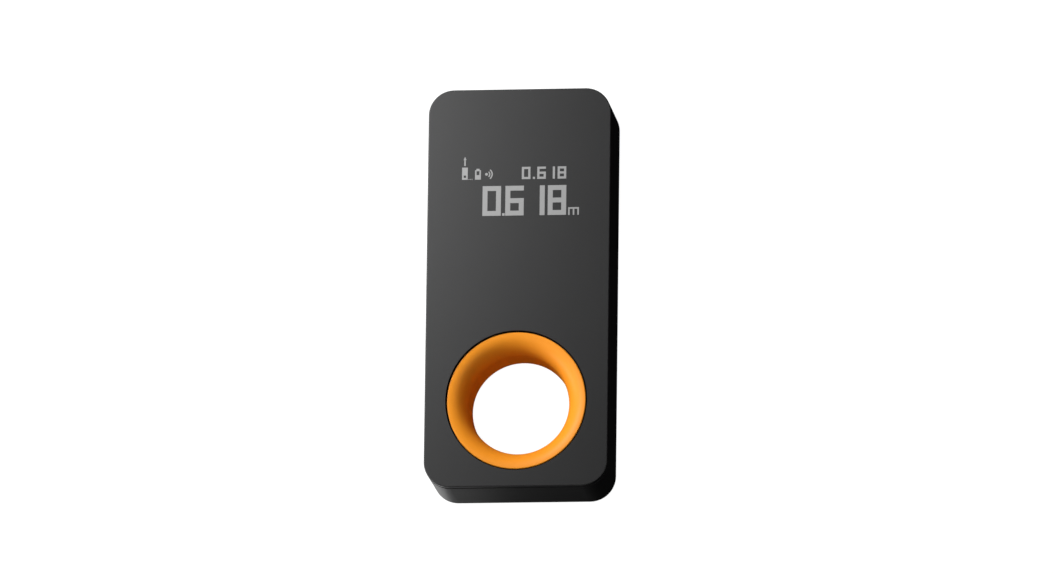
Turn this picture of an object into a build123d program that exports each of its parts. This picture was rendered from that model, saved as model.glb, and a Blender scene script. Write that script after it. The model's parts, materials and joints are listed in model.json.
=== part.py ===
"""Pocket laser distance meter: a slim slab with a read-out under its front cover, a hanging
ring through its thickness, a sprung measure button on one side and the optics at the top end.

Millimetres. +X is to the right of the read-out, +Y towards the laser end and +Z out of the
read-out. The origin is the centre of the back face, on which the meter lies.
"""

from build123d import *
import os

# ---------------------------------------------------------------- driving dimensions
# Body
width = 38.0
length = 84.0
thickness = 17.0
corner_radius = 5.3
wall = 1.6
floor = 1.5
back_edge_radius = 0.4
front_edge_radius = 0.2
cut_margin = 1.0

# Front cover, and the shadow gap under its edge
cover_thickness = 1.2
shadow_gap = 0.8
skirt_depth = 2.6
skirt_thickness = 0.8
skirt_clearance = 0.1
skirt_notch_margin = 0.5
hook_length = 6.0
hook_height = 0.7
hook_proud = 0.35
hook_lift = 0.2
hook_play = 0.1
hook_end_play = 0.5
hook_pocket_depth = 0.5
hook_rows = (-33.0, 2.0, 34.0)

# Hanging ring: an hourglass in two halves that meet at mid-thickness
ring_y = -23.9
ring_throat_radius = 10.4
ring_lip_radius = 14.4
ring_lip_recess = 0.4
ring_lip_edge_radius = 0.2
ring_land = 5.8
ring_flange_height = 1.6
ring_shoulder_height = 5.1
ring_sleeve_thickness = 1.3
ring_hole_radius = 14.7
boss_radius = 15.4
boss_bore_radius = 13.4
boss_bore_clearance = 0.1

# Measure button on the left side, and the side-push switch behind it
button_y = 19.0
button_length = 16.0
button_height = 6.4
button_proud = 0.5
button_gap = 0.15
button_edge_radius = 0.35
button_flange = 0.8
button_flange_thickness = 0.6
switch_size = (3.5, 6.0, 7.1)
switch_gap = 0.75
plunger_size = (1.35, 3.0, 1.8)
plunger_clearance = 0.05
plunger_pocket_depth = 1.1

# Main board, its posts and its screws
board_thickness = 0.8
board_bottom = 13.0
board_width = 32.8
board_ends = (-8.0, 31.5)
board_corner_radius = 1.5
board_screw_x = 14.75
board_screw_rows = (-6.0, 29.6)
post_radius = 1.9
post_rib = (2.6, 1.0)
post_rib_reach = 1.6
screw_shaft_radius = 0.78
screw_pilot_radius = 0.8
screw_hole_radius = 0.9
screw_head_radius = 1.35
screw_head_height = 0.9
screw_recess = (1.5, 0.35)
screw_recess_depth = 0.5
board_screw_length = 4.0
bracket_screw_length = 3.4

# Small parts on the main board: place, then size
microcontroller_place = (-8.0, -1.5)
microcontroller_size = (7.0, 7.0, 0.85)
shield_place = (4.0, -2.5)
shield_size = (10.0, 8.0, 1.4)
shield_sheet = 0.2
antenna_place = (11.8, 0.5)
antenna_size = (1.6, 3.2, 1.1)
crystal_place = (-13.5, 1.5)
crystal_size = (1.5, 3.2, 0.8)
inductor_place = (-13.2, 6.5)
inductor_size = (3.0, 3.0, 1.2)
capacitor_size = (0.6, 1.0, 0.5)
capacitor_pitch = (1.6, 2.0)
capacitor_blocks = (((-8.0, 3.6), (4, 1)), ((12.0, 6.0), (3, 2)))

# Read-out: the glass, and the part of it that lights up
panel_centre = (0.1, 21.0)
panel_size = (26.3, 18.0)
panel_layer = 0.6
panel_ledge = 2.4
panel_clearance = 0.1
active_centre = (0.25, 21.4)
active_size = (25.2, 13.8)
gasket_overlap = 0.05
display_pocket_depth = 0.5
display_flex_y = 10.6
display_flex_size = (12.0, 6.8, 0.15)
display_connector_y = 7.5
display_connector_size = (14.0, 2.6, 1.2)
display_slot_size = (12.2, 2.4, 0.25)
display_slot_shift = 0.9

# Optics: two parallel axes through the top end
receiver_x = -7.3
laser_x = 7.3
optics_x = (-12.0, 11.6)
optics_head_x = (-14.0, 11.6)
optics_y = (17.5, 40.2)
optics_head_y = 32.0
optics_z = (1.9, 12.8)
optics_head_z = (1.8, 15.2)
optics_corner_radius = 0.6
optics_fit = 0.05
lens_radius = 5.2
lens_seat_y = 37.0
lens_edge = 1.0
lens_crown = 1.4
retainer_radius = 5.9
retainer_bore_radius = 4.8
retainer_seat_y = 38.3
retainer_inset = 0.2
retainer_slot = (0.9, 0.6)
cone_radii = (1.4, 4.6)
cone_start_y = 20.0
filter_size = (4.5, 0.7, 4.5)
filter_play = 0.1
detector_size = (4.8, 1.5, 4.8)
detector_pocket = (6.0, 1.7, 6.0)
detector_chamfer = 0.5
detector_inset = 0.1
receiver_board_centre = (-6.5, 7.4)
receiver_board_size = (11.0, 10.4)
receiver_board_radius = 0.5
header_pin_size = (0.4, 0.4, 3.4)
header_pin_pitch = 1.27
header_pin_count = 5
ear_y = 25.5
ear_x = 13.75
ear_radius = 1.9
ear_web = 2.4
ear_z = (4.0, 5.4)
ear_post_radius = 1.7

# Laser: a stepped barrel with the diode at its back and the lens and its nut at its mouth
barrel_radius = 3.0
barrel_y = (24.5, 39.0)
barrel_mouth_radius = 2.3
barrel_bore_radius = 1.9
lens_step_y = 35.0
diode_seat_y = 25.9
diode_bore_radius = 2.82
diode_flange_radius = 2.8
diode_flange = 1.2
diode_can_radius = 1.78
diode_can = 2.2
diode_pin_radius = 0.22
diode_pin_circle = 1.0
diode_pin_length = 4.55
laser_bay = (6.8, 7.8)
collimator_radius = 2.25
collimator_edge = 1.0
collimator_crown = 0.7
nut_radius = 2.27
nut_bore_radius = 1.4
nut_y = 38.4
nut_length = 1.6
nut_slot = (0.6, 0.5)
laser_flex_y = 20.0
laser_flex_z = 6.6
laser_flex_width = 5.0
laser_flex_tab = 2.0
flex_thickness = 0.15

# End window in a recess of the top end
window_size = (27.0, 11.8)
window_thickness = 1.0
window_chamfer = 0.25
window_inset = 0.1
window_gap = 0.1
window_ledge = 0.7
receiver_aperture_radius = 4.7
laser_aperture_radius = 1.7
laser_window_radius = 2.25
laser_window_thickness = 0.5
laser_window_fit = 0.05
end_gasket_gap = 0.1
end_gasket_bores = (4.9, 2.0)

# Cell
cell_centre = (3.8, 5.9)
cell_size = (26.0, 19.0, 8.5)
cell_edge_radius = 1.6
cell_pad = (22.0, 15.0, 0.6)
lead_radius = 0.4
lead_bend = 1.6
lead_columns = (8.0, 9.6)
lead_z = 6.0
battery_connector_y = -6.1
battery_connector_size = (5.0, 3.0, 2.2)

# Charging socket, USB Type-C, on the left side
usb_y = 1.5
usb_shell_size = (8.94, 3.2)
usb_sheet = 0.3
usb_depth = 7.3
usb_mouth_inset = 0.3
usb_opening = (9.4, 3.7)
usb_tongue_inset = 0.7
usb_tongue_section = (6.7, 0.7)
usb_tongue_root = (1.0, 2.4)
charge_board_size = (7.3, 10.8, 0.8)
charge_board_inset = 1.5
charge_rib = (5.6, 1.2)
charge_rib_x = -13.6
charge_rib_spacing = 8.4
charge_flex_width = 7.0
charge_flex_inset = 0.6

# ---------------------------------------------------------------- derived places
middle_z = thickness / 2
cover_z = thickness - cover_thickness
rim_z = cover_z - shadow_gap
skirt_z = cover_z - skirt_depth
board_top = board_bottom + board_thickness
board_middle_y = sum(board_ends) / 2
screw_places = [(x, y) for x in (-board_screw_x, board_screw_x) for y in board_screw_rows]
rib_places = [(x * (1 + post_rib_reach / board_screw_x), y) for x, y in screw_places]
ear_places = [(-ear_x, ear_y), (ear_x, ear_y)]
hook_x = width / 2 - wall - skirt_clearance
hook_places = [(x, y) for x in (-hook_x, hook_x) for y in hook_rows]
hook_pocket_places = [(x, y) for x in (-width / 2 + wall, width / 2 - wall) for y in hook_rows]
panel_bottom = board_top + panel_clearance
panel_top = panel_bottom + 2 * panel_layer
display_flex_z = panel_bottom + panel_layer
window_y = length / 2 - window_inset
window_back_y = window_y - window_thickness
window_open = (window_size[0] - 2 * window_ledge, window_size[1] - 2 * window_ledge)
flange_x = -width / 2 + wall + button_gap
plunger_x = flange_x + button_flange_thickness
switch_x = plunger_x + switch_gap
usb_mouth_x = -width / 2 + usb_mouth_inset
charge_board_top = middle_z - usb_shell_size[1] / 2
charge_board_x = usb_mouth_x + charge_board_inset
receiver_board_y = optics_y[0] - detector_inset

ON_TOP = (Align.CENTER, Align.CENTER, Align.MIN)
UNDER = (Align.CENTER, Align.CENTER, Align.MAX)
TOWARDS_LENS = (Align.CENTER, Align.MIN, Align.CENTER)
INWARDS = (Align.MIN, Align.CENTER, Align.CENTER)


def end_plane(y):
    """Plane across the meter at y, drawn in X and Z. It extrudes towards the ring."""
    return Plane.XZ.offset(-y)


def side_plane(x):
    """Plane along the left side at x, drawn in Y and Z. It extrudes inwards."""
    return Plane.YZ.offset(x)


def along_y(x):
    """Axis of a round piece of the optics."""
    return Axis((x, 0, middle_z), (0, 1, 0))


def dome_radius(half_chord, rise):
    """Radius of an arc from its half chord and its rise."""
    return (half_chord**2 + rise**2) / (2 * rise)


# ---------------------------------------------------------------- housing
with BuildPart() as rear_housing:
    with BuildSketch(Plane.XY):
        RectangleRounded(width, length, corner_radius)
    extrude(amount=rim_z)
    fillet(rear_housing.faces().sort_by(Axis.Z)[0].edges(), back_edge_radius)
    with BuildSketch(Plane.XY.offset(floor)):
        RectangleRounded(width - 2 * wall, length - 2 * wall, corner_radius - wall)
    extrude(amount=thickness, mode=Mode.SUBTRACT)

    # Boss around the ring, then its bore, wide enough at each end for the ring's flanges
    with BuildSketch(Plane.XY.offset(floor)):
        with Locations((0, ring_y)):
            Circle(boss_radius)
    extrude(amount=cover_z - floor)
    with BuildSketch(Plane.XY):
        with Locations((0, ring_y)):
            Circle(boss_bore_radius)
    extrude(amount=thickness, mode=Mode.SUBTRACT)
    for flange_z in (0.0, thickness - ring_lip_recess - ring_flange_height):
        with BuildSketch(Plane.XY.offset(flange_z)):
            with Locations((0, ring_y)):
                Circle(ring_hole_radius)
        extrude(amount=ring_lip_recess + ring_flange_height, mode=Mode.SUBTRACT)

    # Posts for the main board, each with a rib to the side wall, and for the optics block
    with BuildSketch(Plane.XY.offset(floor)):
        with Locations(*screw_places):
            Circle(post_radius)
        with Locations(*rib_places):
            Rectangle(*post_rib)
    extrude(amount=board_bottom - floor)
    with BuildSketch(Plane.XY.offset(board_bottom)):
        with Locations(*screw_places):
            Circle(screw_pilot_radius)
    extrude(amount=-board_screw_length, mode=Mode.SUBTRACT)
    with BuildSketch(Plane.XY.offset(floor)):
        with Locations(*ear_places):
            Circle(ear_post_radius)
    extrude(amount=ear_z[0] - floor)
    with BuildSketch(Plane.XY.offset(ear_z[0])):
        with Locations(*ear_places):
            Circle(screw_pilot_radius)
    extrude(amount=-(ear_z[0] - floor), mode=Mode.SUBTRACT)

    # Two ribs under the charge board
    with BuildSketch(Plane.XY.offset(floor)):
        with Locations((charge_rib_x, usb_y)):
            with GridLocations(0, charge_rib_spacing, 1, 2):
                Rectangle(*charge_rib)
    extrude(amount=charge_board_top - charge_board_size[2] - floor)

    # Openings in the left side: charging socket and measure button
    with BuildSketch(side_plane(-width / 2 - cut_margin)):
        with Locations((usb_y, middle_z)):
            SlotOverall(*usb_opening)
        with Locations((button_y, middle_z)):
            SlotOverall(button_length + 2 * button_gap, button_height + 2 * button_gap)
    extrude(amount=wall + 1.5 * cut_margin, mode=Mode.SUBTRACT)

    # Recess for the end window, and the opening behind it
    with BuildSketch(end_plane(length / 2)):
        with Locations((0, middle_z)):
            SlotOverall(window_size[0] + 2 * window_gap, window_size[1] + 2 * window_gap)
    extrude(amount=length / 2 - window_back_y, mode=Mode.SUBTRACT)
    with BuildSketch(end_plane(length / 2)):
        with Locations((0, middle_z)):
            SlotOverall(*window_open)
    extrude(amount=wall + 0.5 * cut_margin, mode=Mode.SUBTRACT)

    # Pockets in the long walls that the cover's hooks snap into
    with BuildSketch(Plane.XY.offset(skirt_z + hook_lift - hook_play)):
        with Locations(*hook_pocket_places):
            Rectangle(2 * hook_pocket_depth, hook_length + 2 * hook_end_play)
    extrude(amount=hook_height + 2 * hook_play, mode=Mode.SUBTRACT)

with BuildPart() as front_cover:
    with BuildSketch(Plane.XY.offset(cover_z)):
        RectangleRounded(width, length, corner_radius)
    extrude(amount=cover_thickness)
    fillet(front_cover.faces().sort_by(Axis.Z)[-1].edges(), front_edge_radius)
    skirt_inset = wall + skirt_clearance
    with BuildSketch(Plane.XY.offset(skirt_z)):
        RectangleRounded(width - 2 * skirt_inset, length - 2 * skirt_inset, corner_radius - skirt_inset)
        offset(amount=-skirt_thickness, mode=Mode.SUBTRACT)
    extrude(amount=skirt_depth)
    # Notch in the skirt over the head of the optics block
    with BuildSketch(Plane.XY.offset(cover_z)):
        with Locations((sum(optics_head_x) / 2, length / 2 - wall)):
            Rectangle(optics_head_x[1] - optics_head_x[0] + 2 * skirt_notch_margin, 2 * wall)
    extrude(amount=-skirt_depth, mode=Mode.SUBTRACT)
    with BuildSketch(Plane.XY.offset(skirt_z + hook_lift)):
        with Locations(*hook_places):
            Rectangle(2 * hook_proud, hook_length)
    extrude(amount=hook_height)
    with BuildSketch(Plane.XY.offset(cover_z)):
        with Locations((0, ring_y)):
            Circle(ring_hole_radius)
    extrude(amount=cover_thickness, mode=Mode.SUBTRACT)
    # Thinned behind the read-out, so that its light shows through
    with BuildSketch(Plane.XY.offset(cover_z)):
        with Locations(active_centre):
            Rectangle(*active_size)
    extrude(amount=display_pocket_depth, mode=Mode.SUBTRACT)

# ---------------------------------------------------------------- hanging ring
lip_z = thickness - ring_lip_recess
land_z = middle_z + ring_land / 2
sleeve_radius = ring_throat_radius + ring_sleeve_thickness

with BuildPart() as ring_front:
    with BuildSketch(end_plane(ring_y)):
        with BuildLine():
            Line((ring_throat_radius, middle_z), (ring_throat_radius, land_z))
            EllipticalCenterArc(
                (ring_lip_radius, land_z),
                ring_lip_radius - ring_throat_radius,
                lip_z - land_z,
                start_angle=90,
                arc_size=90,
            )
            Polyline(
                (ring_lip_radius, lip_z),
                (ring_lip_radius, lip_z - ring_flange_height),
                (boss_bore_radius - boss_bore_clearance, lip_z - ring_flange_height),
                (sleeve_radius, lip_z - ring_shoulder_height),
                (sleeve_radius, middle_z),
                (ring_throat_radius, middle_z),
            )
        make_face()
    revolve(axis=Axis((0, ring_y, 0), (0, 0, 1)))
    fillet(ring_front.edges().group_by(Axis.Z)[-1], ring_lip_edge_radius)

with BuildPart() as ring_rear:
    mirror(ring_front.part, about=Plane.XY.offset(middle_z))

# ---------------------------------------------------------------- end window
with BuildPart() as end_window:
    with BuildSketch(end_plane(window_y)):
        with Locations((0, middle_z)):
            SlotOverall(*window_size)
    extrude(amount=window_thickness)
    with BuildSketch(end_plane(window_y)):
        with Locations((receiver_x, middle_z)):
            Circle(receiver_aperture_radius)
        with Locations((laser_x, middle_z)):
            Circle(laser_aperture_radius)
    extrude(amount=window_thickness, mode=Mode.SUBTRACT)
    with BuildSketch(end_plane(window_back_y + laser_window_thickness)):
        with Locations((laser_x, middle_z)):
            Circle(laser_window_radius + laser_window_fit)
    extrude(amount=laser_window_thickness, mode=Mode.SUBTRACT)
    chamfer(end_window.faces().sort_by(Axis.Y)[-1].edges(), window_chamfer)

with BuildPart() as laser_window:
    with BuildSketch(end_plane(window_back_y + laser_window_thickness)):
        with Locations((laser_x, middle_z)):
            Circle(laser_window_radius)
    extrude(amount=laser_window_thickness)

with BuildPart() as end_gasket:
    with BuildSketch(end_plane(window_back_y)):
        with Locations((0, middle_z)):
            SlotOverall(window_open[0] - 2 * end_gasket_gap, window_open[1] - 2 * end_gasket_gap)
        with Locations((receiver_x, middle_z)):
            Circle(end_gasket_bores[0], mode=Mode.SUBTRACT)
        with Locations((laser_x, middle_z)):
            Circle(end_gasket_bores[1], mode=Mode.SUBTRACT)
    extrude(amount=window_back_y - optics_y[1])

# ---------------------------------------------------------------- optics block
with BuildPart() as optics_block:
    with BuildSketch(Plane.XY.offset(optics_z[0])):
        with Locations((sum(optics_x) / 2, (optics_y[0] + optics_head_y) / 2)):
            Rectangle(optics_x[1] - optics_x[0], optics_head_y - optics_y[0])
    extrude(amount=optics_z[1] - optics_z[0])
    with BuildSketch(Plane.XY.offset(optics_head_z[0])):
        with Locations((sum(optics_head_x) / 2, (optics_head_y + optics_y[1]) / 2)):
            Rectangle(optics_head_x[1] - optics_head_x[0], optics_y[1] - optics_head_y)
    extrude(amount=optics_head_z[1] - optics_head_z[0])
    fillet(optics_block.edges().filter_by(Axis.Z).group_by(Axis.Y)[-1], optics_corner_radius)

    # Ears that its two screws hold down
    with BuildSketch(Plane.XY.offset(ear_z[0])):
        with Locations(*ear_places):
            Circle(ear_radius)
        with Locations((-ear_x + ear_web / 2, ear_y), (ear_x - ear_web / 2, ear_y)):
            Rectangle(ear_web, 2 * ear_radius)
        with Locations(*ear_places):
            Circle(screw_hole_radius, mode=Mode.SUBTRACT)
    extrude(amount=ear_z[1] - ear_z[0])

    # Receiver: retainer counterbore, lens seat, cone, filter pocket and detector pocket
    with BuildSketch(Plane.XY.offset(middle_z)):
        with BuildLine():
            Polyline(
                (receiver_x, optics_y[1]),
                (receiver_x + retainer_radius + optics_fit, optics_y[1]),
                (receiver_x + retainer_radius + optics_fit, retainer_seat_y),
                (receiver_x + lens_radius + optics_fit, retainer_seat_y),
                (receiver_x + lens_radius + optics_fit, lens_seat_y),
                (receiver_x + cone_radii[1], lens_seat_y),
                (receiver_x + cone_radii[0], cone_start_y),
                (receiver_x, cone_start_y),
                close=True,
            )
        make_face()
    revolve(axis=along_y(receiver_x), mode=Mode.SUBTRACT)
    with Locations((receiver_x, cone_start_y - filter_size[1] - filter_play, middle_z)):
        Box(
            filter_size[0] + filter_play,
            filter_size[1] + 2 * filter_play,
            filter_size[2] + filter_play,
            align=TOWARDS_LENS,
            mode=Mode.SUBTRACT,
        )
    with Locations((receiver_x, optics_y[0], middle_z)):
        Box(*detector_pocket, align=TOWARDS_LENS, mode=Mode.SUBTRACT)

    # Laser: bore for the barrel, and an open bay behind it for the diode's pins
    with BuildSketch(end_plane(optics_y[1])):
        with Locations((laser_x, middle_z)):
            Circle(barrel_radius + optics_fit)
    extrude(amount=optics_y[1] - barrel_y[0], mode=Mode.SUBTRACT)
    with Locations((laser_x, optics_y[0], optics_z[1])):
        Box(
            laser_bay[0],
            barrel_y[0] - optics_y[0],
            laser_bay[1],
            align=(Align.CENTER, Align.MIN, Align.MAX),
            mode=Mode.SUBTRACT,
        )

with BuildPart() as receiver_lens:
    with BuildSketch(Plane.XY.offset(middle_z)):
        with BuildLine():
            Polyline(
                (receiver_x, lens_seat_y + lens_edge + lens_crown),
                (receiver_x, lens_seat_y),
                (receiver_x + lens_radius, lens_seat_y),
                (receiver_x + lens_radius, lens_seat_y + lens_edge),
            )
            RadiusArc(
                (receiver_x + lens_radius, lens_seat_y + lens_edge),
                (receiver_x, lens_seat_y + lens_edge + lens_crown),
                -dome_radius(lens_radius, lens_crown),
            )
        make_face()
    revolve(axis=along_y(receiver_x))

with BuildPart() as lens_retainer:
    with BuildSketch(end_plane(optics_y[1] - retainer_inset)):
        with Locations((receiver_x, middle_z)):
            Circle(retainer_radius)
            Circle(retainer_bore_radius, mode=Mode.SUBTRACT)
    extrude(amount=optics_y[1] - retainer_inset - retainer_seat_y)
    with BuildSketch(end_plane(optics_y[1] - retainer_inset)):
        with Locations((receiver_x, middle_z)):
            Rectangle(2 * retainer_radius + cut_margin, retainer_slot[0])
    extrude(amount=retainer_slot[1], mode=Mode.SUBTRACT)

with BuildPart() as bandpass_filter:
    with Locations((receiver_x, cone_start_y - filter_size[1], middle_z)):
        Box(*filter_size, align=TOWARDS_LENS)

with BuildPart() as photo_detector:
    with Locations((receiver_x, receiver_board_y, middle_z)):
        Box(*detector_size, align=TOWARDS_LENS)
    chamfer(photo_detector.edges().filter_by(Axis.Y), detector_chamfer)

with BuildPart() as receiver_board:
    with BuildSketch(end_plane(receiver_board_y)):
        with Locations(receiver_board_centre):
            RectangleRounded(*receiver_board_size, receiver_board_radius)
    extrude(amount=board_thickness)

with BuildPart() as header_pins:
    with Locations((receiver_board_centre[0], receiver_board_y - board_thickness, board_bottom)):
        with GridLocations(header_pin_pitch, 0, header_pin_count, 1):
            Box(*header_pin_size, align=(Align.CENTER, Align.MAX, Align.MAX))

# ---------------------------------------------------------------- laser
with BuildPart() as laser_barrel:
    with BuildSketch(Plane.XY.offset(middle_z)):
        with BuildLine():
            Polyline(
                (laser_x + barrel_radius, barrel_y[0]),
                (laser_x + barrel_radius, barrel_y[1]),
                (laser_x + barrel_mouth_radius, barrel_y[1]),
                (laser_x + barrel_mouth_radius, lens_step_y),
                (laser_x + barrel_bore_radius, lens_step_y),
                (laser_x + barrel_bore_radius, diode_seat_y),
                (laser_x + diode_bore_radius, diode_seat_y),
                (laser_x + diode_bore_radius, barrel_y[0]),
                close=True,
            )
        make_face()
    revolve(axis=along_y(laser_x))

with BuildPart() as collimating_lens:
    dome_foot_y = lens_step_y + collimator_edge
    dome_top_y = dome_foot_y + collimator_crown
    with BuildSketch(Plane.XY.offset(middle_z)):
        with BuildLine():
            Polyline(
                (laser_x, dome_top_y),
                (laser_x, lens_step_y),
                (laser_x + collimator_radius, lens_step_y),
                (laser_x + collimator_radius, dome_foot_y),
            )
            RadiusArc(
                (laser_x + collimator_radius, dome_foot_y),
                (laser_x, dome_top_y),
                -dome_radius(collimator_radius, collimator_crown),
            )
        make_face()
    revolve(axis=along_y(laser_x))

with BuildPart() as collimator_nut:
    with BuildSketch(end_plane(nut_y)):
        with Locations((laser_x, middle_z)):
            Circle(nut_radius)
            Circle(nut_bore_radius, mode=Mode.SUBTRACT)
    extrude(amount=nut_length)
    with BuildSketch(end_plane(nut_y)):
        with Locations((laser_x, middle_z)):
            Rectangle(2 * nut_radius + cut_margin, nut_slot[0])
    extrude(amount=nut_slot[1], mode=Mode.SUBTRACT)

with BuildPart() as laser_diode:
    with BuildSketch(end_plane(diode_seat_y)):
        with Locations((laser_x, middle_z)):
            Circle(diode_flange_radius)
    extrude(amount=diode_flange)
    with BuildSketch(end_plane(diode_seat_y + diode_can)):
        with Locations((laser_x, middle_z)):
            Circle(diode_can_radius)
    extrude(amount=diode_can)
    with BuildSketch(end_plane(diode_seat_y - diode_flange)):
        with Locations((laser_x, middle_z)):
            with PolarLocations(diode_pin_circle, 3):
                Circle(diode_pin_radius)
    extrude(amount=diode_pin_length)

with BuildPart() as laser_flex:
    flex_outer_y = laser_flex_y + flex_thickness
    with BuildSketch(Plane.YZ.offset(laser_x - laser_flex_width / 2)):
        with BuildLine():
            Polyline(
                (flex_outer_y, laser_flex_z),
                (flex_outer_y, board_bottom),
                (laser_flex_y - laser_flex_tab, board_bottom),
                (laser_flex_y - laser_flex_tab, board_bottom - flex_thickness),
                (laser_flex_y, board_bottom - flex_thickness),
                (laser_flex_y, laser_flex_z),
                close=True,
            )
        make_face()
    extrude(amount=laser_flex_width)

# ---------------------------------------------------------------- read-out
panel_glass_y = panel_centre[1] + panel_ledge / 2

with BuildPart() as display_panel:
    with BuildSketch(Plane.XY.offset(panel_bottom)):
        with Locations(panel_centre):
            Rectangle(*panel_size)
    extrude(amount=panel_layer)
    with BuildSketch(Plane.XY.offset(panel_bottom + panel_layer)):
        with Locations((panel_centre[0], panel_glass_y)):
            Rectangle(panel_size[0], panel_size[1] - panel_ledge)
    extrude(amount=panel_layer)

with BuildPart() as display_gasket:
    with BuildSketch(Plane.XY.offset(panel_top)):
        with Locations((panel_centre[0], panel_glass_y)):
            Rectangle(panel_size[0], panel_size[1] - panel_ledge)
        with Locations(active_centre):
            Rectangle(
                active_size[0] - 2 * gasket_overlap,
                active_size[1] - 2 * gasket_overlap,
                mode=Mode.SUBTRACT,
            )
    extrude(amount=cover_z - panel_top)

with BuildPart() as display_flex:
    with Locations((panel_centre[0], display_flex_y, display_flex_z)):
        Box(*display_flex_size, align=ON_TOP)

with BuildPart() as display_connector:
    with Locations((panel_centre[0], display_connector_y, board_top)):
        Box(*display_connector_size, align=ON_TOP)
    slot_z = display_flex_z - (display_slot_size[2] - display_flex_size[2]) / 2
    with Locations((panel_centre[0], display_connector_y + display_slot_shift, slot_z)):
        Box(*display_slot_size, align=ON_TOP, mode=Mode.SUBTRACT)

# ---------------------------------------------------------------- main board
with BuildPart() as main_board:
    with BuildSketch(Plane.XY.offset(board_bottom)):
        with Locations((0, board_middle_y)):
            RectangleRounded(board_width, board_ends[1] - board_ends[0], board_corner_radius)
        with Locations(*screw_places):
            Circle(screw_hole_radius, mode=Mode.SUBTRACT)
    extrude(amount=board_thickness)

with BuildPart() as microcontroller:
    with Locations((*microcontroller_place, board_top)):
        Box(*microcontroller_size, align=ON_TOP)
    chamfer(microcontroller.faces().sort_by(Axis.Z)[-1].edges(), 0.15)

with BuildPart() as radio_shield:
    with Locations((*shield_place, board_top)):
        Box(*shield_size, align=ON_TOP)
    fillet(radio_shield.edges().filter_by(Axis.Z), 0.5)
    with Locations((*shield_place, board_top)):
        Box(
            shield_size[0] - 2 * shield_sheet,
            shield_size[1] - 2 * shield_sheet,
            shield_size[2] - shield_sheet,
            align=ON_TOP,
            mode=Mode.SUBTRACT,
        )

with BuildPart() as chip_antenna:
    with Locations((*antenna_place, board_top)):
        Box(*antenna_size, align=ON_TOP)

with BuildPart() as crystal:
    with Locations((*crystal_place, board_top)):
        Box(*crystal_size, align=ON_TOP)

with BuildPart() as inductor:
    with Locations((*inductor_place, board_top)):
        Box(*inductor_size, align=ON_TOP)
    chamfer(inductor.edges().filter_by(Axis.Z), 0.5)

with BuildPart() as capacitors:
    for place, counts in capacitor_blocks:
        with Locations((*place, board_top)):
            with GridLocations(*capacitor_pitch, *counts):
                Box(*capacitor_size, align=ON_TOP)

# ---------------------------------------------------------------- cell
with BuildPart() as battery_cell:
    with Locations((*cell_centre, floor + cell_pad[2])):
        Box(*cell_size, align=ON_TOP)
    fillet(battery_cell.edges().filter_by(Axis.Y), cell_edge_radius)

with BuildPart() as battery_pad:
    with Locations((*cell_centre, floor)):
        Box(*cell_pad, align=ON_TOP)

with BuildPart() as battery_connector:
    with Locations((sum(lead_columns) / 2, battery_connector_y, board_bottom)):
        Box(*battery_connector_size, align=UNDER)

with BuildPart() as battery_leads:
    cell_end_y = cell_centre[1] - cell_size[1] / 2
    for x in lead_columns:
        with BuildLine():
            route = FilletPolyline(
                (x, cell_end_y, lead_z),
                (x, battery_connector_y, lead_z),
                (x, battery_connector_y, board_bottom - battery_connector_size[2]),
                radius=lead_bend,
            )
        with BuildSketch(Plane(origin=route @ 0, z_dir=route % 0)):
            Circle(lead_radius)
        sweep(path=route)

# ---------------------------------------------------------------- charging socket
usb_back_x = usb_mouth_x + usb_depth - usb_sheet

with BuildPart() as charge_board:
    with Locations((charge_board_x, usb_y, charge_board_top)):
        Box(*charge_board_size, align=(Align.MIN, Align.CENTER, Align.MAX))

with BuildPart() as usb_shell:
    with BuildSketch(side_plane(usb_mouth_x)):
        with Locations((usb_y, middle_z)):
            SlotOverall(*usb_shell_size)
    extrude(amount=usb_depth)
    with BuildSketch(side_plane(usb_mouth_x)):
        with Locations((usb_y, middle_z)):
            SlotOverall(usb_shell_size[0] - 2 * usb_sheet, usb_shell_size[1] - 2 * usb_sheet)
    extrude(amount=usb_depth - usb_sheet, mode=Mode.SUBTRACT)

with BuildPart() as usb_tongue:
    tongue_x = usb_mouth_x + usb_tongue_inset
    with Locations((tongue_x, usb_y, middle_z)):
        Box(usb_back_x - tongue_x, *usb_tongue_section, align=INWARDS)
    with Locations((usb_back_x - usb_tongue_root[0], usb_y, middle_z)):
        Box(usb_tongue_root[0], usb_tongue_section[0], usb_tongue_root[1], align=INWARDS)

with BuildPart() as charge_flex:
    with Locations((charge_board_x + charge_board_size[0] - charge_flex_inset, usb_y, charge_board_top)):
        Box(flex_thickness, charge_flex_width, board_bottom - charge_board_top, align=ON_TOP)

# ---------------------------------------------------------------- measure button
with BuildPart() as measure_button:
    with BuildSketch(side_plane(-width / 2 - button_proud)):
        with Locations((button_y, middle_z)):
            SlotOverall(button_length, button_height)
    extrude(amount=width / 2 + button_proud + plunger_x)
    fillet(measure_button.faces().sort_by(Axis.X)[0].edges(), button_edge_radius)
    with BuildSketch(side_plane(flange_x)):
        with Locations((button_y, middle_z)):
            SlotOverall(button_length + 2 * button_flange, button_height + 2 * button_flange)
    extrude(amount=button_flange_thickness)

with BuildPart() as switch_plunger:
    with Locations((plunger_x, button_y, middle_z)):
        Box(*plunger_size, align=INWARDS)

with BuildPart() as tact_switch:
    with Locations((switch_x, button_y, board_bottom)):
        Box(*switch_size, align=(Align.MIN, Align.CENTER, Align.MAX))
    with Locations((switch_x, button_y, middle_z)):
        Box(
            plunger_pocket_depth,
            plunger_size[1] + 2 * plunger_clearance,
            plunger_size[2] + 2 * plunger_clearance,
            align=INWARDS,
            mode=Mode.SUBTRACT,
        )

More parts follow.
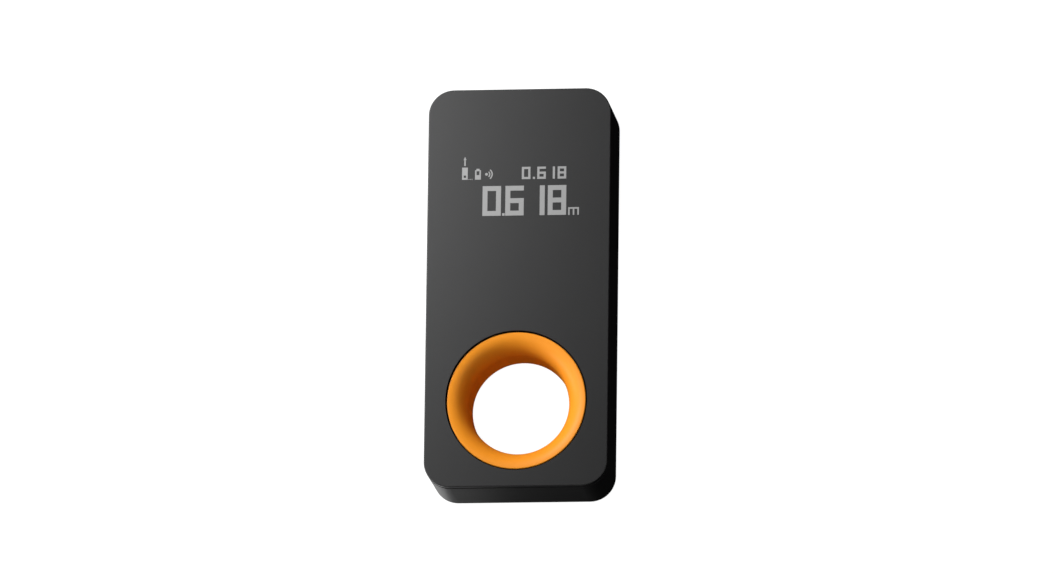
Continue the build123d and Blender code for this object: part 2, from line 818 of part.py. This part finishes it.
# ---------------------------------------------------------------- screws
screw_groups = {
    "board_screws": (screw_places, board_top, board_screw_length),
    "bracket_screws": (ear_places, ear_z[1], bracket_screw_length),
}
screws = {}
for name, (places, seat_z, shaft_length) in screw_groups.items():
    with BuildPart() as group:
        for x, y in places:
            with BuildSketch(Plane.XY.offset(seat_z)):
                with Locations((x, y)):
                    Circle(screw_head_radius)
            extrude(amount=screw_head_height)
            with BuildSketch(Plane.XY.offset(seat_z)):
                with Locations((x, y)):
                    Circle(screw_shaft_radius)
            extrude(amount=-shaft_length)
            with BuildSketch(Plane.XY.offset(seat_z + screw_head_height)):
                with Locations((x, y)):
                    Rectangle(*screw_recess)
                    Rectangle(*screw_recess, rotation=90)
            extrude(amount=-screw_recess_depth, mode=Mode.SUBTRACT)
    screws[name] = group

# ---------------------------------------------------------------- labels and export
pieces = {
    "rear_housing": rear_housing,
    "front_cover": front_cover,
    "ring_front": ring_front,
    "ring_rear": ring_rear,
    "end_window": end_window,
    "laser_window": laser_window,
    "end_gasket": end_gasket,
    "optics_block": optics_block,
    "receiver_lens": receiver_lens,
    "lens_retainer": lens_retainer,
    "bandpass_filter": bandpass_filter,
    "photo_detector": photo_detector,
    "receiver_board": receiver_board,
    "header_pins": header_pins,
    "laser_barrel": laser_barrel,
    "collimating_lens": collimating_lens,
    "collimator_nut": collimator_nut,
    "laser_diode": laser_diode,
    "laser_flex": laser_flex,
    "display_panel": display_panel,
    "display_gasket": display_gasket,
    "display_flex": display_flex,
    "display_connector": display_connector,
    "main_board": main_board,
    "microcontroller": microcontroller,
    "radio_shield": radio_shield,
    "chip_antenna": chip_antenna,
    "crystal": crystal,
    "inductor": inductor,
    "capacitors": capacitors,
    "battery_cell": battery_cell,
    "battery_pad": battery_pad,
    "battery_connector": battery_connector,
    "battery_leads": battery_leads,
    "charge_board": charge_board,
    "usb_shell": usb_shell,
    "usb_tongue": usb_tongue,
    "charge_flex": charge_flex,
    "measure_button": measure_button,
    "switch_plunger": switch_plunger,
    "tact_switch": tact_switch,
    **screws,
}
os.makedirs("parts", exist_ok=True)
for label, piece in pieces.items():
    piece.part.label = label
    export_step(piece.part, f"parts/{label}.step")
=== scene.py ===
"""Looks of the laser distance meter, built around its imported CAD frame. Metres."""

import bmesh
import bpy
import json
import math
from mathutils import Matrix, Vector


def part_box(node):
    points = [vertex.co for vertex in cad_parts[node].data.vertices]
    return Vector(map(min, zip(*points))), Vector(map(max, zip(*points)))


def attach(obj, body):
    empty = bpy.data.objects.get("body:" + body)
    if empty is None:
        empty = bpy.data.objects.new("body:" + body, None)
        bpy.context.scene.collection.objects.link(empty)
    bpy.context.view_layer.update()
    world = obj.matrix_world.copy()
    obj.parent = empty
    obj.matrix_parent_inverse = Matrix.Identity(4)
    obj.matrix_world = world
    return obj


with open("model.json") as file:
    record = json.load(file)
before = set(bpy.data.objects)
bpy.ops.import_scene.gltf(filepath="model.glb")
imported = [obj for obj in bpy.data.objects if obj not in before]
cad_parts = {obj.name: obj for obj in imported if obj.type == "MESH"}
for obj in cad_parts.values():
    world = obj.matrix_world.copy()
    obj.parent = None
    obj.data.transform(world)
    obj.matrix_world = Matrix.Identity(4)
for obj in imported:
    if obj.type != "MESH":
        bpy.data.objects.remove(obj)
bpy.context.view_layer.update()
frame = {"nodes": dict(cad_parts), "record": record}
MM = 0.001
nodes = frame["nodes"]
front_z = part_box("front_cover")[1].z
body_middle = Vector((0, 0, front_z / 2))


# ---------------------------------------------------------------- material helpers
class Paint:
    """One procedural material: a Principled shader and the nodes that feed it."""

    def __init__(self, name, **shader_values):
        self.material = bpy.data.materials.new(name)
        self.material.use_nodes = True
        self.tree = self.material.node_tree
        self.shader = self.tree.nodes["Principled BSDF"]
        for socket, value in shader_values.items():
            self.shader.inputs[socket.replace("_", " ")].default_value = value
        self.coords = self.tree.nodes.new("ShaderNodeTexCoord").outputs["Object"]

    def node(self, kind, inputs=(), **settings):
        """Adds a node. inputs maps a socket's name or number to a value or a node's output."""
        made = self.tree.nodes.new(kind)
        for key, value in settings.items():
            setattr(made, key, value)
        for key, value in dict(inputs).items():
            if isinstance(value, bpy.types.NodeSocket):
                self.tree.links.new(value, made.inputs[key])
            else:
                made.inputs[key].default_value = value
        return made

    def noise(self, size, detail=3.0, roughness=0.55, coords=None):
        """Noise whose features are about size metres across."""
        inputs = {
            "Vector": coords or self.coords,
            "Scale": 1 / size,
            "Detail": detail,
            "Roughness": roughness,
        }
        return self.node("ShaderNodeTexNoise", inputs).outputs["Fac"]

    def spread(self, value, low_out, high_out, low_in=0.3, high_in=0.7):
        """Maps a 0..1 pattern to a range of values."""
        inputs = {0: value, 1: low_in, 2: high_in, 3: low_out, 4: high_out}
        return self.node("ShaderNodeMapRange", inputs).outputs[0]

    def blend(self, factor, first, second):
        """Colour between first and second."""
        mixer = self.node("ShaderNodeMix", {0: factor}, data_type="RGBA")
        for index, colour in ((6, first), (7, second)):
            if isinstance(colour, bpy.types.NodeSocket):
                self.tree.links.new(colour, mixer.inputs[index])
            else:
                mixer.inputs[index].default_value = (*colour, 1)
        return mixer.outputs[2]

    def bump(self, height, depth, strength):
        """Normal of a surface whose pattern is depth metres deep."""
        inputs = {"Height": height, "Distance": depth, "Strength": strength}
        return self.node("ShaderNodeBump", inputs).outputs["Normal"]

    def feed(self, **sockets):
        """Links outputs to the shader's sockets."""
        for socket, output in sockets.items():
            self.tree.links.new(output, self.shader.inputs[socket.replace("_", " ")])
        return self.material


def mixed(colour, amount):
    """The colour, lighter for a positive amount and darker for a negative one."""
    return tuple(min(1.0, max(0.0, c * (1 + amount))) for c in colour)


# How far a moulded surface's roughness strays. More shows as blotches in a bright reflection.
GLOSS_PLAY = 0.006


def moulded(name, colour, roughness, grain=0.12 * MM, depth=0.004 * MM, mottle=0.06, **values):
    """Moulded plastic: fine spark-eroded grain, slight cloudiness and uneven gloss."""
    paint = Paint(name, Roughness=roughness, **values)
    clouds = paint.noise(6 * MM, detail=4)
    fine = paint.noise(grain, detail=2, roughness=0.6)
    colours = paint.blend(clouds, mixed(colour, -mottle), mixed(colour, mottle))
    gloss = paint.spread(paint.noise(9 * MM), roughness - GLOSS_PLAY, roughness + GLOSS_PLAY)
    return paint.feed(Base_Color=colours, Roughness=gloss, Normal=paint.bump(fine, depth, 0.5))


def metal(name, colour, roughness, streak=(0.02, 1.0, 1.0), depth=0.002 * MM):
    """Turned or rolled metal with fine streaks, stretched along one axis."""
    paint = Paint(name, Metallic=1.0)
    stretched = paint.node("ShaderNodeMapping", {"Vector": paint.coords, "Scale": streak})
    lines = paint.noise(0.08 * MM, detail=3, coords=stretched.outputs[0])
    colours = paint.blend(lines, mixed(colour, -0.15), mixed(colour, 0.1))
    gloss = paint.spread(lines, roughness - 0.06, roughness + 0.08)
    return paint.feed(Base_Color=colours, Roughness=gloss, Normal=paint.bump(lines, depth, 0.4))


# ---------------------------------------------------------------- materials of the CAD nodes
def satin_black(name):
    """Satin black plastic of the housing and the cover."""
    black = (0.0156, 0.0156, 0.016)
    return moulded(name, black, 0.4, depth=0.003 * MM, Specular_IOR_Level=0.39)


def orange_paint(name, colour):
    """Orange satin plastic of the ring and the button."""
    return moulded(
        name, colour, 0.45, grain=0.1 * MM, depth=0.002 * MM, mottle=0.03,
        Specular_IOR_Level=0.2,
    )


def glass_paint(name, tint, **values):
    """Optical glass with faint cleaning marks."""
    paint = Paint(name, IOR=1.52, Transmission_Weight=1.0, **values)
    marks = paint.noise(1.5 * MM, detail=5)
    colours = paint.blend(marks, mixed(tint, -0.04), tint)
    gloss = paint.spread(marks, 0.0, 0.02)
    return paint.feed(Base_Color=colours, Roughness=gloss)


# Quarter-wave coating in nanometres, which leaves a faint violet reflection
COATED = {"Thin_Film_Thickness": 110, "Thin_Film_IOR": 1.38}

paints = {
    "housing_plastic": satin_black("housing_satin"),
    "cover_plastic": satin_black("cover_satin"),
    "ring_orange": orange_paint("ring_satin_orange", (0.8, 0.272, 0.016)),
    "button_orange": orange_paint("button_satin_orange", (0.7, 0.215, 0.012)),
    "window_black": moulded("window_gloss_black", (0.006, 0.006, 0.007), 0.08, depth=0.0005 * MM),
    "optical_glass": glass_paint("lens_glass", (0.9, 0.96, 1.0), **COATED),
    "filter_glass": glass_paint("filter_red_glass", (0.6, 0.03, 0.03)),
    "foam_black": moulded(
        "foam_black", (0.012, 0.012, 0.012), 0.9, grain=0.3 * MM, depth=0.05 * MM,
    ),
    "optics_black": moulded("optics_matt_black", (0.015, 0.015, 0.016), 0.6, depth=0.01 * MM),
    "chip_black": moulded("chip_package", (0.02, 0.02, 0.022), 0.5, depth=0.008 * MM),
    "board_green": moulded("solder_mask_green", (0.01, 0.12, 0.045), 0.3, grain=0.4 * MM),
    "gold_contact": metal("gold_plate", (0.9, 0.62, 0.25), 0.22),
    "brass_metal": metal("turned_brass", (0.72, 0.5, 0.2), 0.25, streak=(1.0, 0.02, 1.0)),
    "flex_amber": moulded("polyimide_flex", (0.5, 0.22, 0.03), 0.3, grain=0.5 * MM),
    "panel_glass": moulded("panel_dark_glass", (0.01, 0.01, 0.012), 0.06, depth=0.0003 * MM),
    "socket_plastic": moulded("socket_nylon", (0.62, 0.58, 0.5), 0.5, depth=0.006 * MM),
    "shield_metal": metal("tinned_steel", (0.62, 0.62, 0.63), 0.3),
    "capacitor_tan": moulded("ceramic_tan", (0.36, 0.24, 0.12), 0.6, grain=0.2 * MM),
    "cell_foil": metal(
        "pouch_foil", (0.55, 0.55, 0.57), 0.4, streak=(1.0, 1.0, 1.0), depth=0.01 * MM,
    ),
    "lead_red": moulded("lead_silicone_red", (0.45, 0.01, 0.01), 0.45, depth=0.004 * MM),
    "screw_steel": metal("zinc_screw", (0.45, 0.45, 0.47), 0.3),
}
for subpart in frame["record"]["subparts"]:
    cad_node = nodes[subpart["node"]]
    cad_node.data.materials.clear()
    cad_node.data.materials.append(paints[subpart["material_slot"]])


# ---------------------------------------------------------------- pieces made here
def new_piece(mesh, name, paint, body, smooth=False):
    """Turns a mesh into a piece that rides on a body and takes its finish from a slot."""
    data = bpy.data.meshes.new(name)
    mesh.to_mesh(data)
    mesh.free()
    data.polygons.foreach_set("use_smooth", [smooth] * len(data.polygons))
    piece = bpy.data.objects.new(name, data)
    bpy.context.scene.collection.objects.link(piece)
    piece.data.materials.append(paint)
    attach(piece, body)
    return piece


def finish_solid(mesh):
    """Points a closed mesh's normals outwards, and scales it from millimetres to metres."""
    bmesh.ops.recalc_face_normals(mesh, faces=mesh.faces)
    bmesh.ops.scale(mesh, vec=(MM, MM, MM), verts=mesh.verts)


# ---------------------------------------------------------------- read-out
def readout_paint():
    """Lit segments seen through the satin cover."""
    paint = Paint("readout_lit", Roughness=0.5, Emission_Color=(1, 1, 1, 1), Emission_Strength=0.1)
    cells = paint.noise(0.25 * MM, detail=2)
    tone = (0.175, 0.175, 0.175)
    return paint.feed(Base_Color=paint.blend(cells, mixed(tone, -0.08), mixed(tone, 0.08)))


lit_segments = readout_paint()

# A segment's height above the cover, its thickness, and the read-out's shift over the cover.
# The characters and icons below are in millimetres across and along the cover.
SEGMENT_LIFT = 0.02 * MM
SEGMENT_THICKNESS = 0.03 * MM
READOUT_SHIFT = (0.1 * MM, -0.06 * MM)

# Filled cells of each character, by rows from the top
DIGITS = {
    "0": ("###", "#.#", "#.#", "#.#", "###"),
    "1": ("..#", "..#", "..#", "..#", "..#"),
    "6": ("###", "#..", "###", "#.#", "###"),
    "8": ("###", "#.#", "###", "#.#", "###"),
}
UNIT_M = ("#####", "#.#.#")


def add_polygon(mesh, points):
    """Adds one flat face."""
    mesh.faces.new([mesh.verts.new((x, y, 0)) for x, y in points])


def add_cells(mesh, left, top, widths, heights, rows):
    """Adds a character's filled cells. widths and heights are those of its columns and rows."""
    y = top
    for height, row in zip(heights, rows):
        x = left
        for width, mark in zip(widths, row):
            if mark == "#":
                right, bottom = x + width, y - height
                add_polygon(mesh, ((x, bottom), (right, bottom), (right, y), (x, y)))
            x += width
        y -= height


def add_arc_band(mesh, centre, inner, outer, start, end, steps=12):
    """Adds a band between two radii, from start to end degrees."""
    x, y = centre
    for step in range(steps):
        a = math.radians(start + (end - start) * step / steps)
        b = math.radians(start + (end - start) * (step + 1) / steps)
        corners = ((inner, a), (outer, a), (outer, b), (inner, b))
        add_polygon(mesh, [(x + r * math.cos(t), y + r * math.sin(t)) for r, t in corners])


def finish_segments(mesh, name):
    """Turns flat faces, drawn in millimetres, into thin segments on the front cover."""
    bmesh.ops.remove_doubles(mesh, verts=mesh.verts, dist=0.01)
    bmesh.ops.recalc_face_normals(mesh, faces=mesh.faces)
    for face in mesh.faces:
        if face.normal.z < 0:
            face.normal_flip()
    bmesh.ops.scale(mesh, vec=(MM, MM, MM), verts=mesh.verts)
    bmesh.ops.translate(mesh, vec=(*READOUT_SHIFT, front_z + SEGMENT_LIFT), verts=mesh.verts)
    piece = new_piece(mesh, name, lit_segments, "housing")
    thick = piece.modifiers.new("thickness", "SOLIDIFY")
    thick.thickness = SEGMENT_THICKNESS
    thick.offset = -1


def number_row(name, places, top, size, stroke, dot):
    """A row of digits. places gives each digit's left edge, size a digit's width and height."""
    width, height = size
    gap = (height - 3 * stroke) / 2
    widths = (stroke, width - 2 * stroke, stroke)
    heights = (stroke, gap, stroke, gap, stroke)
    mesh = bmesh.new()
    for digit, left in places:
        add_cells(mesh, left, top, widths, heights, DIGITS[digit])
    dot_left, dot_size = dot
    bottom = top - height
    add_cells(mesh, dot_left, bottom + dot_size, (dot_size,), (dot_size,), ("#",))
    finish_segments(mesh, name)


number_row(
    "readout_large_number",
    (("0", -7.62), ("6", -2.87), ("1", 1.48), ("8", 5.96)),
    top=21.48, size=(3.84, 6.32), stroke=1.03, dot=(-3.5, 0.52),
)
number_row(
    "readout_small_number",
    (("0", 0.5), ("6", 3.71), ("1", 5.6), ("8", 7.95)),
    top=25.46, size=(1.79, 2.6), stroke=0.46, dot=(2.8, 0.45),
)


def unit_mark():
    """The small unit after the large number."""
    mesh = bmesh.new()
    stroke, gap = 0.32, 0.635
    add_cells(mesh, 10.23, 16.74, (stroke, gap, stroke, gap, stroke), (stroke, 1.3), UNIT_M)
    finish_segments(mesh, "readout_unit")


def device_icon():
    """The meter with its beam, showing the end that is measured from."""
    mesh = bmesh.new()
    add_cells(mesh, -11.95, 25.5, (0.34, 0.5, 0.34), (1.68, 0.5, 0.41), ("###", "#.#", "###"))
    add_cells(mesh, -11.51, 27.2, (0.28,), (1.35,), ("#",))
    add_polygon(mesh, ((-11.69, 27.1), (-11.05, 27.1), (-11.37, 27.75)))
    for n in range(3):
        add_cells(mesh, -10.6 + 0.32 * n, 23.06, (0.18,), (0.16,), ("#",))
    finish_segments(mesh, "readout_device_icon")


def battery_icon():
    """Upright battery, a little over half full."""
    mesh = bmesh.new()
    add_cells(mesh, -9.25, 24.9, (0.31, 0.6, 0.31), (0.2, 0.83, 0.97), ("###", "#.#", "###"))
    add_cells(mesh, -8.97, 25.2, (0.66,), (0.3,), ("#",))
    finish_segments(mesh, "readout_battery_icon")


def radio_icon():
    """Radio link: a dot with two waves."""
    mesh = bmesh.new()
    centre = (-6.86, 24.01)
    add_arc_band(mesh, centre, 0.02, 0.3, 0, 360, steps=16)
    for inner in (0.55, 1.05):
        add_arc_band(mesh, centre, inner, inner + 0.26, -52, 52)
    finish_segments(mesh, "readout_radio_icon")


unit_mark()
device_icon()
battery_icon()
radio_icon()


# ---------------------------------------------------------------- button ribs and socket contacts
def capsule(half_length, radius, steps=10):
    """Outline of a slot as (across, along) points, anticlockwise."""
    points = []
    for centre, start in ((half_length, 0), (-half_length, 180)):
        for step in range(steps + 1):
            angle = math.radians(start + 180 * step / steps)
            points.append((radius * math.cos(angle), centre + radius * math.sin(angle)))
    return points


def join_outlines(mesh, first, second):
    """Adds the faces between two outlines that have as many points as each other."""
    for k in range(len(first)):
        after = (k + 1) % len(first)
        mesh.faces.new((first[k], first[after], second[after], second[k]))


def button_ribs():
    """Five crowned ribs for the thumb, across the middle of the measure button."""
    button_low, button_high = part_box("measure_button")
    face_x = button_low.x / MM
    middle_y = (button_low.y + button_high.y) / 2 / MM
    middle_z = (button_low.z + button_high.z) / 2 / MM
    pitch, half_length, root, rise = 1.5, 1.15, 0.06, 0.14
    # Half widths from the root to the crown, with their heights over the button's face
    profile = (
        (0.34, -root), (0.34, 0.2 * rise), (0.27, 0.65 * rise), (0.15, 0.93 * rise), (0.03, rise),
    )
    mesh = bmesh.new()
    for n in range(-2, 3):
        rib_y = middle_y + n * pitch
        rings = [
            [
                mesh.verts.new((face_x - height, rib_y + across, middle_z + along))
                for across, along in capsule(half_length, radius)
            ]
            for radius, height in profile
        ]
        for lower, upper in zip(rings, rings[1:]):
            join_outlines(mesh, lower, upper)
        mesh.faces.new(rings[-1])
        mesh.faces.new(rings[0])
    finish_solid(mesh)
    new_piece(
        mesh, "button_grip_ribs", paints["button_orange"], "button", smooth=True,
    )


def socket_contacts():
    """Gold contacts on both faces of the charging socket's tongue."""
    tongue_low, tongue_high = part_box("usb_tongue")
    mouth_x = tongue_low.x / MM
    middle_y = (tongue_low.y + tongue_high.y) / 2 / MM
    middle_z = (tongue_low.z + tongue_high.z) / 2 / MM
    count, pitch, width, length, setback = 12, 0.5, 0.26, 3.4, 0.45
    half_tongue, sunk, proud = 0.35, 0.02, 0.03
    # Across and up, as parts of the width and of the height from the sunk foot to the top
    section = ((-0.5, 0), (-0.5, 0.7), (-0.34, 1), (0.34, 1), (0.5, 0.7), (0.5, 0))
    mesh = bmesh.new()
    for side in (-1, 1):
        for n in range(count):
            y = middle_y + (n - (count - 1) / 2) * pitch
            outline = [
                (y + across * width, middle_z + side * (half_tongue - sunk + up * (proud + sunk)))
                for across, up in section
            ]
            near, far = (
                [mesh.verts.new((x, *point)) for point in outline]
                for x in (mouth_x + setback, mouth_x + setback + length)
            )
            join_outlines(mesh, near, far)
            mesh.faces.new(near)
            mesh.faces.new(far)
    finish_solid(mesh)
    new_piece(mesh, "usb_contacts", paints["gold_contact"], "housing")


button_ribs()
socket_contacts()


# ---------------------------------------------------------------- stage, camera and light
# How bright the floor and the surroundings look, and how much light the surroundings give
FLOOR_GLOW = 1.0
WORLD_GLOW = 0.0

# Turns of the camera in degrees: roll, tilt and pan. Its offset is from the body's middle.
CAMERA_TURN = (-0.73, -12.89, -6.95)
CAMERA_OFFSET = (0.85 * MM, 1.94 * MM, 2.259)
CAMERA_LENS = 373.1

# Width and length of each kind of light, and how high the key lights hang
KEY_SIZE = (0.05, 0.18)
SIDE_SIZE = (0.25, 0.08)
BOUNCE_SIZE = (0.25, 0.14)
KEY_HEIGHT = 0.15


def make_floor():
    """Plain pale floor, evenly lit by its own glow, a hair below the back face."""
    data = bpy.data.meshes.new("floor")
    reach = 6.0
    data.from_pydata(
        [(-reach, -reach, 0), (reach, -reach, 0), (reach, reach, 0), (-reach, reach, 0)],
        [], [(0, 1, 2, 3)],
    )
    floor = bpy.data.objects.new("floor", data)
    floor.location.z = -0.02 * MM
    bpy.context.scene.collection.objects.link(floor)
    paint = Paint(
        "floor_pale", Roughness=1.0, Specular_IOR_Level=0.0, Base_Color=(0.12, 0.12, 0.12, 1),
        Emission_Color=(1, 1, 1, 1), Emission_Strength=FLOOR_GLOW,
    )
    floor.data.materials.append(paint.material)
    floor.visible_glossy = False
    floor.visible_diffuse = False
    floor.visible_shadow = False


def make_camera():
    """Long lens, seen from a little below the middle and to the right."""
    roll, tilt, pan = (math.radians(angle) for angle in CAMERA_TURN)
    turn = (
        Matrix.Rotation(roll, 3, "Z")
        @ Matrix.Rotation(tilt, 3, "X")
        @ Matrix.Rotation(pan, 3, "Y")
    ).transposed()
    data = bpy.data.cameras.new("camera")
    data.lens = CAMERA_LENS
    data.sensor_width = 36.0
    data.clip_end = 20.0
    camera = bpy.data.objects.new("camera", data)
    place = body_middle + turn @ Vector(CAMERA_OFFSET)
    camera.matrix_world = Matrix.Translation(place) @ turn.to_4x4()
    bpy.context.scene.collection.objects.link(camera)
    bpy.context.scene.camera = camera


def softbox(name, place, aim, size, glow):
    """Soft rectangular light that the camera doesn't see. glow is its brightness per area."""
    data = bpy.data.lights.new(name, "AREA")
    data.shape = "RECTANGLE"
    data.size, data.size_y = size
    data.energy = math.pi * size[0] * size[1] * glow
    light = bpy.data.objects.new(name, data)
    light.location = place
    light.rotation_mode = "QUATERNION"
    light.rotation_quaternion = (Vector(aim) - Vector(place)).to_track_quat("-Z", "Y")
    light.visible_camera = False
    bpy.context.scene.collection.objects.link(light)
    return light


def key_light(name, x, y, glow):
    """Softbox above the object that shines straight down."""
    softbox(name, (x, y, KEY_HEIGHT), (x, y, 0), KEY_SIZE, glow)


def bounce_light(name, x, y, glow):
    """Wide faint light from below one side, as from a pale table."""
    softbox(name, (x, y, -0.06), (0, 0, 0.01), BOUNCE_SIZE, glow)


def light_only(lights, names):
    """Lets lights reach only the named CAD nodes."""
    lit = bpy.data.collections.new("under_lit")
    for name in names:
        lit.objects.link(nodes[name])
    for light in lights:
        light.light_linking.receiver_collection = lit


def make_world():
    """Even pale surroundings behind the object, which give no light of their own."""
    world = bpy.data.worlds.new("studio")
    bpy.context.scene.world = world
    world.use_nodes = True
    tree = world.node_tree
    background = tree.nodes["Background"]
    path = tree.nodes.new("ShaderNodeLightPath")
    level = tree.nodes.new("ShaderNodeMapRange")
    tree.links.new(path.outputs["Is Camera Ray"], level.inputs[0])
    level.inputs[3].default_value = WORLD_GLOW
    level.inputs[4].default_value = FLOOR_GLOW
    tree.links.new(level.outputs[0], background.inputs["Strength"])
    background.inputs["Color"].default_value = (1, 1, 1, 1)


make_floor()
make_camera()
key_light("key_far", -0.15, 0.11, 27.2)
key_light("key_middle", -0.1, 0.11, 8.6)
key_light("key_middle_lower", -0.1, -0.07, 3.4)
key_light("key_near", -0.05, 0.11, 2.6)
key_light("key_near_lower", -0.05, -0.07, 0.5)
key_light("fill_right", 0.12, -0.07, 2.2)
softbox("side_left", (-0.28, -0.125, 0.04), (0, -0.125, 0.04), SIDE_SIZE, 14.6)
under_left = softbox("under_left", (-0.04, -0.06, -0.05), (-0.04, -0.06, 0), (0.02, 0.1), 1.02)
under_wide = softbox("under_wide", (-0.04, -0.07, -0.1), (-0.04, -0.07, 0), (0.04, 0.15), 0.2)
bounce_light("bounce_right", 0.28, 0, 0.25)
bounce_light("bounce_top", 0, 0.3, 0.55)
bounce_light("bounce_bottom", 0, -0.3, 0.5)
light_only((under_left, under_wide), ("rear_housing", "front_cover"))
make_world()
bpy.context.scene.view_settings.view_transform = "Standard"
